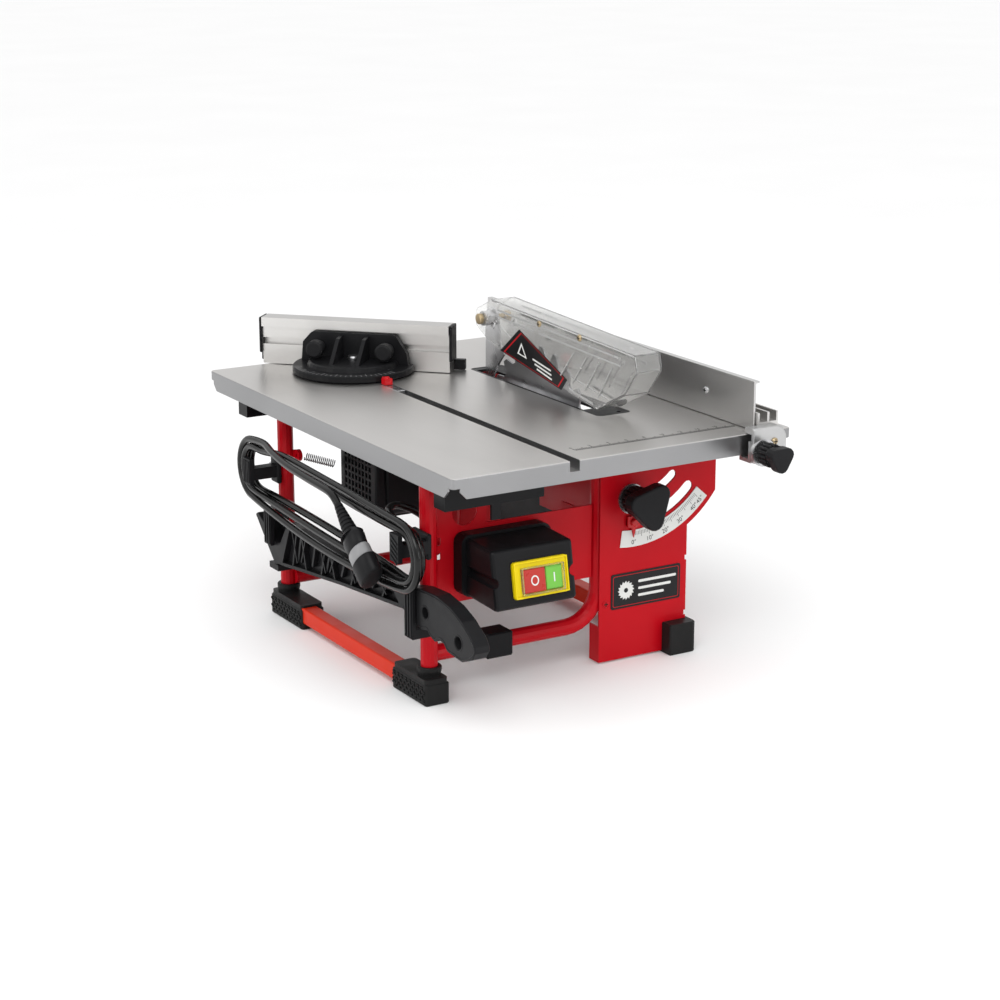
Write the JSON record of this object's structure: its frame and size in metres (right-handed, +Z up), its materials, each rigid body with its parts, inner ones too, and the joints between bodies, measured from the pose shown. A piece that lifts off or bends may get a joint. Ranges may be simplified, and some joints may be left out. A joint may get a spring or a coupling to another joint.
{
  "type": "bench table saw",
  "caption": "Compact bench table saw: steel table on a red tube frame with tilting blade, clear guard, rip fence, mitre gauge, switch box and push stick.",
  "frame": {"origin": "on the ground under the middle of the object's bounding box, the cord left out", "axes": "+X to the operator's right, +Y away from the operator along the cut, +Z up"},
  "size_m": [0.4034, 0.5822, 0.313],
  "materials": {
    "zinc_sheet": "dull galvanised sheet",
    "steel": "bright steel",
    "red_paint": "gloss red powder coat",
    "black_steel": "black painted steel",
    "black_plastic": "moulded black plastic",
    "rubber_black": "black rubber",
    "aluminium_extrusion": "satin anodised",
    "clear_plastic": "clear polycarbonate",
    "brass_bolt": "yellow zinc plated",
    "yellow_plastic": "yellow cover",
    "red_plastic": "red",
    "green_plastic": "green",
    "white_label": "printed white scale",
    "cord_pvc": "glossy black cable sheath"
  },
  "bodies": {
    "base": {"bevel_scale": "white_label", "cable_hook_front": "black_plastic", "cable_hook_rear": "black_plastic", "cord_hank": "cord_pvc", "cord_lead": "cord_pvc", "cord_plug": "cord_pvc", "foot_front_left": "rubber_black", "foot_front_right": "rubber_black", "foot_rear_left": "rubber_black", "foot_rear_right": "rubber_black", "front_cross_rail": "black_steel", "front_panel": "red_paint", "front_tube_frame": "red_paint", "left_foot_bar": "red_paint", "rear_cross_rail": "black_steel", "rear_panel": "red_paint", "rear_tube_frame": "red_paint", "right_foot_bar": "red_paint", "stick_holder_front": "black_plastic", "stick_holder_rear": "black_plastic", "switch_box": "black_plastic", "switch_faceplate": "yellow_plastic", "switch_mount_plate": "red_paint", "table_top": "zinc_sheet", "tension_spring": "steel", "throat_insert": "black_plastic", "tool_clip": "black_plastic"},
    "tilt_carriage": {"tilt_carriage": "red_paint", "bevel_pointer": "red_plastic", "rear_guide_bolt": "steel"},
    "blade_unit": {"motor_housing": "black_plastic", "motor_end_cap": "black_plastic", "lower_blade_cover": "black_plastic", "riving_knife": "steel"},
    "blade": {"arbor_shaft": "steel", "arbor_inner_flange": "steel", "arbor_outer_flange": "steel", "saw_blade": "steel", "arbor_nut": "steel"},
    "guard_pin": {"guard_pivot_bolt": "brass_bolt"},
    "guard_sleeve": {"guard_sleeve": "steel"},
    "guard": {"guard_shell": "clear_plastic"},
    "bevel_knob": {"bevel_lock_knob": "black_plastic"},
    "fence": {"fence_plate": "zinc_sheet", "fence_profile": "aluminium_extrusion", "fence_clamp_head": "zinc_sheet"},
    "fence_knob": {"fence_clamp_knob": "black_plastic"},
    "fence_jaw": {"fence_clamp_jaw": "zinc_sheet"},
    "mitre_bar": {"mitre_bar": "steel", "mitre_pointer": "red_plastic"},
    "mitre_head": {"mitre_base": "black_plastic"},
    "mitre_fence": {"mitre_fence": "aluminium_extrusion", "mitre_cap_left": "black_plastic", "mitre_cap_right": "black_plastic", "mitre_back_strip": "black_plastic"},
    "mitre_knob_left": {"mitre_knob_left": "black_plastic"},
    "mitre_knob_right": {"mitre_knob_right": "black_plastic"},
    "off_button": {"off_button": "red_plastic"},
    "on_button": {"on_button": "green_plastic"},
    "push_stick": {"push_stick": "black_plastic"}
  },
  "joints": [
    {"name": "bevel_tilt", "type": "hinge", "parent": "base", "child": "tilt_carriage", "pos_m": [0.0725, 0.01489, 0.225], "axis": [0, -1, 0], "range_deg": [0, 45], "deforming": ["tension_spring"]},
    {"name": "cut_height", "type": "slide", "parent": "tilt_carriage", "child": "blade_unit", "axis": [0, 0, 1], "range_m": [-0.036, 0], "deforming": ["tension_spring"]},
    {"name": "blade_spin", "type": "hinge", "parent": "blade_unit", "child": "blade", "pos_m": [0.0745, 0.01489, 0.177], "axis": [1, 0, 0], "continuous": true},
    {"name": "guard_pin_turn", "type": "hinge", "parent": "blade_unit", "child": "guard_pin", "pos_m": [0.0745, 0.10739, 0.29], "axis": [-1, 0, 0], "range_deg": [0, 9]},
    {"name": "guard_sleeve_turn", "type": "hinge", "parent": "guard_pin", "child": "guard_sleeve", "pos_m": [0.0745, 0.10739, 0.29], "axis": [-1, 0, 0], "range_deg": [0, 4.5]},
    {"name": "guard_lift", "type": "hinge", "parent": "guard_sleeve", "child": "guard", "pos_m": [0.0745, 0.10739, 0.29], "axis": [-1, 0, 0], "range_deg": [0, 60]},
    {"name": "bevel_lock_turn", "type": "hinge", "parent": "tilt_carriage", "child": "bevel_knob", "pos_m": [0.0687, -0.18511, 0.16111], "axis": [0, 1, 0], "range_deg": [0, 270]},
    {"name": "fence_slide", "type": "slide", "parent": "base", "child": "fence", "axis": [1, 0, 0], "range_m": [-0.058, 0.012]},
    {"name": "fence_clamp_turn", "type": "hinge", "parent": "fence", "child": "fence_knob", "pos_m": [0.1445, -0.27511, 0.219], "axis": [0, 1, 0], "range_deg": [0, 360]},
    {"name": "fence_jaw_slide", "type": "slide", "parent": "fence", "child": "fence_jaw", "axis": [0, 1, 0], "range_m": [0, 0.0015]},
    {"name": "mitre_slide", "type": "slide", "parent": "base", "child": "mitre_bar", "axis": [0, 1, 0], "range_m": [-0.25, 0.03]},
    {"name": "mitre_swivel", "type": "hinge", "parent": "mitre_bar", "child": "mitre_head", "pos_m": [-0.0469, 0.18689, 0.236], "axis": [0, 0, 1], "range_deg": [-15, 105]},
    {"name": "mitre_fence_slide", "type": "slide", "parent": "mitre_head", "child": "mitre_fence", "axis": [0.7071, -0.7071, 0], "range_m": [-0.04, 0.01]},
    {"name": "mitre_knob_left_turn", "type": "hinge", "parent": "mitre_head", "child": "mitre_knob_left", "pos_m": [-0.07306, 0.21305, 0.2565], "axis": [0.7071, 0.7071, 0], "range_deg": [0, 360]},
    {"name": "mitre_knob_right_turn", "type": "hinge", "parent": "mitre_head", "child": "mitre_knob_right", "pos_m": [-0.02074, 0.16072, 0.2565], "axis": [0.7071, 0.7071, 0], "range_deg": [0, 360]},
    {"name": "off_press", "type": "slide", "parent": "base", "child": "off_button", "axis": [0, 0.9839, -0.1789], "range_m": [0, 0.003], "stiffness_N_per_m": 400},
    {"name": "on_press", "type": "slide", "parent": "base", "child": "on_button", "axis": [0, 0.9839, -0.1789], "range_m": [0, 0.003], "stiffness_N_per_m": 400},
    {"name": "push_stick_draw", "type": "slide", "parent": "base", "child": "push_stick", "axis": [0, -0.9946, 0.1035], "range_m": [0, 0.46]}
  ],
  "couplings": [
    {"joint": "guard_pin_turn", "follows": "cut_height", "rad_per_m": -4.12},
    {"joint": "guard_sleeve_turn", "follows": "bevel_tilt", "ratio": 0.0889},
    {"joint": "fence_clamp_turn", "follows": "fence_jaw_slide", "rad_per_m": 4184}
  ]
}
